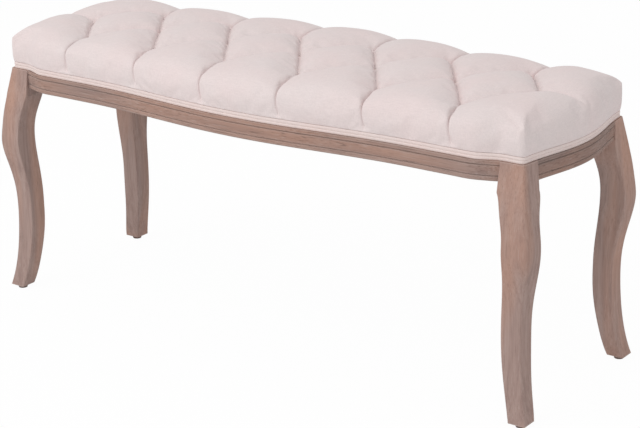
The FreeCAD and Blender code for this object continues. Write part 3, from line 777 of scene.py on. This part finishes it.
looks = {
    # the rails take darker copies of the leg wood as painted shade, deepest on the end rails
    "wood_x": limed_wood("limed_wood_x_painted_shade", "x", painted_shade_tone=0.87, streaks=1.8),
    "wood_y": limed_wood("limed_wood_y_painted_shade", "y", painted_shade_tone=0.72, streaks=1.8),
    "wood_z": limed_wood("limed_wood_z", "z"),
    "cover": linen("linen_cover", LINEN),
    "welt": linen("linen_welt", WELT_LINEN),
    "softwood_x": mottled("softwood_x", *SOFTWOOD, scale=60, roughness=0.8,
                          stretch=along("x", PLANK_FIBRE)),
    "softwood_y": mottled("softwood_y", *SOFTWOOD, scale=60, roughness=0.8,
                          stretch=along("y", PLANK_FIBRE)),
    "plywood": mottled("plywood", (208, 184, 146), (186, 158, 118), scale=40, roughness=0.8,
                       stretch=along("x", VENEER_FIBRE)),
    "steel": mottled("zinc_steel", (196, 196, 192), (168, 170, 170), scale=300, roughness=0.38,
                     metallic=1.0),
    "foam": mottled("seat_foam", (240, 228, 190), (228, 214, 172), scale=400, roughness=0.95),
    "batting": mottled("polyester_batting", (246, 246, 244), (236, 236, 234), scale=200, roughness=0.98),
    "twine": mottled("upholstery_twine", (204, 188, 156), (180, 162, 128), scale=900, roughness=0.9),
    "anchor": mottled("anchor_plastic", (214, 214, 208), (204, 204, 198), scale=500, roughness=0.5),
    "dust": mottled("dust_cloth", (66, 66, 70), (50, 50, 54), scale=900, roughness=0.96),
    "glide": mottled("glide_plastic", (132, 108, 100), (116, 94, 86), scale=300, roughness=0.55),
}

NODE_LOOKS = {
    "front_rail": "wood_x", "back_rail": "wood_x", "left_rail": "wood_y", "right_rail": "wood_y",
    "left_cross_rail": "softwood_y", "right_cross_rail": "softwood_y", "cross_rail_dowels": "softwood_y",
    "hanger_bolts": "steel", "bolt_washers": "steel", "bolt_nuts": "steel", "block_screws": "steel",
    "board_screws": "steel", "glide_nails": "steel", "dust_cover_staples": "steel", "seat_board": "plywood",
    "foam_pad": "foam", "batting": "batting", "seat_cover": "cover", "double_welt": "welt",
    "tuft_twines": "twine", "tuft_anchors": "anchor", "dust_cover": "dust",
}


def look_of(name):
    """The look of a piece of the frame, by its name."""
    if name in NODE_LOOKS:
        return NODE_LOOKS[name]
    kinds = {"leg_": "wood_z", "corner_block_": "softwood_x", "glide_": "glide"}
    return next(look for start, look in kinds.items() if name.startswith(start))


def dress(obj, look):
    obj.data.materials.clear()
    obj.data.materials.append(looks[look])


for name, obj in nodes.items():
    dress(obj, look_of(name))

# Soft pieces

cushion, ring_count = make_cushion()
puff_up(cushion)
close_underside(cushion, ring_count)
shade_smooth(cushion)
dress(cushion, "cover")
smooth = cushion.modifiers.new("smooth", "SUBSURF")
smooth.levels = 1
smooth.render_levels = 1
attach(cushion, "root")
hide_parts("seat_cover", "batting", "foam_pad")

welt = make_welt()
dress(welt, "welt")
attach(welt, "root")
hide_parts("double_welt")

dust = make_dust_sheet()
dress(dust, "dust")
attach(dust, "root")
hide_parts("dust_cover")

# Floor, light and camera, in metres

FLOOR_HALF = 14
FLOOR_GREY = 0.93
FLOOR_ROUGHNESS = 0.9
FLOOR_GLOW = 0.97           # share of plain white that the camera sees on the floor
AMBIENT = 0.66
LAMP_TARGET = (0, 0, 0.35)
KEY_PLACE = (-0.7, -2.4, 3.1)
KEY_SIDE = 2.4
KEY_POWER = 52
FILL_PLACE = (2.8, -0.6, 1.8)
FILL_SIDE = 2.0
FILL_POWER = 3

# The photo's camera: its size, focal length and optical centre in pixels, and its place
# with its turns about X, Y and Z in degrees
PHOTO_WIDTH = 640
PHOTO_HEIGHT = 428
FOCAL_LENGTH = 1915.03
CENTRE_X = 302.71
CENTRE_Y = 212.97
SENSOR_WIDTH = 36.0
FAR_CLIP = 100
CAMERA_PLACE = (1.87813, -2.49012, 1.28403)
CAMERA_TURN = (70.8156, 1.1611, 36.6207)


def seen_by(tree, *rays):
    """1 for the named kinds of light ray and 0 for the others."""
    path = tree.nodes.new("ShaderNodeLightPath")
    seen = path.outputs[rays[0]]
    for ray in rays[1:]:
        seen = math_node(tree, "MAXIMUM", seen, path.outputs[ray])
    return seen


def make_stage():
    """A white floor that glows for the camera and takes shadows for the rest."""
    bm = bmesh.new()
    bmesh.ops.create_grid(bm, x_segments=2, y_segments=2, size=FLOOR_HALF)
    floor = bmesh_object("floor", bm)
    material, tree, shader = new_material("floor_paper")
    set_inputs(shader, {"Base Color": (FLOOR_GREY,) * 3 + (1,), "Roughness": FLOOR_ROUGHNESS})
    glow = tree.nodes.new("ShaderNodeEmission")
    set_inputs(glow, {"Color": WHITE + (1,), "Strength": 1.0})
    seen = seen_by(tree, "Is Camera Ray", "Is Glossy Ray")
    mixer = tree.nodes.new("ShaderNodeMixShader")
    tree.links.new(math_node(tree, "MULTIPLY", seen, FLOOR_GLOW), mixer.inputs[0])
    tree.links.new(shader.outputs[0], mixer.inputs[1])
    tree.links.new(glow.outputs[0], mixer.inputs[2])
    tree.links.new(mixer.outputs[0], tree.nodes["Material Output"].inputs["Surface"])
    floor.data.materials.append(material)


def make_world():
    """White where it is seen, and dimmer where it only lights the bench."""
    world = bpy.data.worlds.new("studio")
    scene.world = world
    world.use_nodes = True
    tree = world.node_tree
    back = tree.nodes["Background"]
    set_inputs(back, {"Color": WHITE + (1,)})
    seen = seen_by(tree, "Is Camera Ray", "Is Glossy Ray", "Is Transmission Ray")
    strength = math_node(tree, "ADD", math_node(tree, "MULTIPLY", seen, 1 - AMBIENT), AMBIENT)
    tree.links.new(strength, back.inputs["Strength"])


def area_lamp(name, place, side, power):
    """A square lamp that points at the bench."""
    data = bpy.data.lights.new(name, "AREA")
    data.shape = "SQUARE"
    data.size = side
    data.energy = power
    lamp = link(name, data)
    lamp.location = place
    lamp.rotation_euler = (Vector(LAMP_TARGET) - Vector(place)).to_track_quat("-Z", "Y").to_euler()


def make_camera():
    """The camera of the photo."""
    data = bpy.data.cameras.new("camera")
    data.sensor_width = SENSOR_WIDTH
    data.lens = FOCAL_LENGTH / PHOTO_WIDTH * SENSOR_WIDTH
    data.shift_x = (PHOTO_WIDTH / 2 - CENTRE_X) / PHOTO_WIDTH
    data.shift_y = (CENTRE_Y - PHOTO_HEIGHT / 2) / PHOTO_WIDTH
    data.clip_end = FAR_CLIP
    camera = link("camera", data)
    turn = Euler([math.radians(angle) for angle in CAMERA_TURN])
    camera.matrix_world = Matrix.LocRotScale(Vector(CAMERA_PLACE), turn, None)
    scene.camera = camera


make_stage()
make_world()
area_lamp("key", KEY_PLACE, KEY_SIDE, KEY_POWER)
area_lamp("fill", FILL_PLACE, FILL_SIDE, FILL_POWER)
make_camera()
scene.view_settings.view_transform = "Standard"
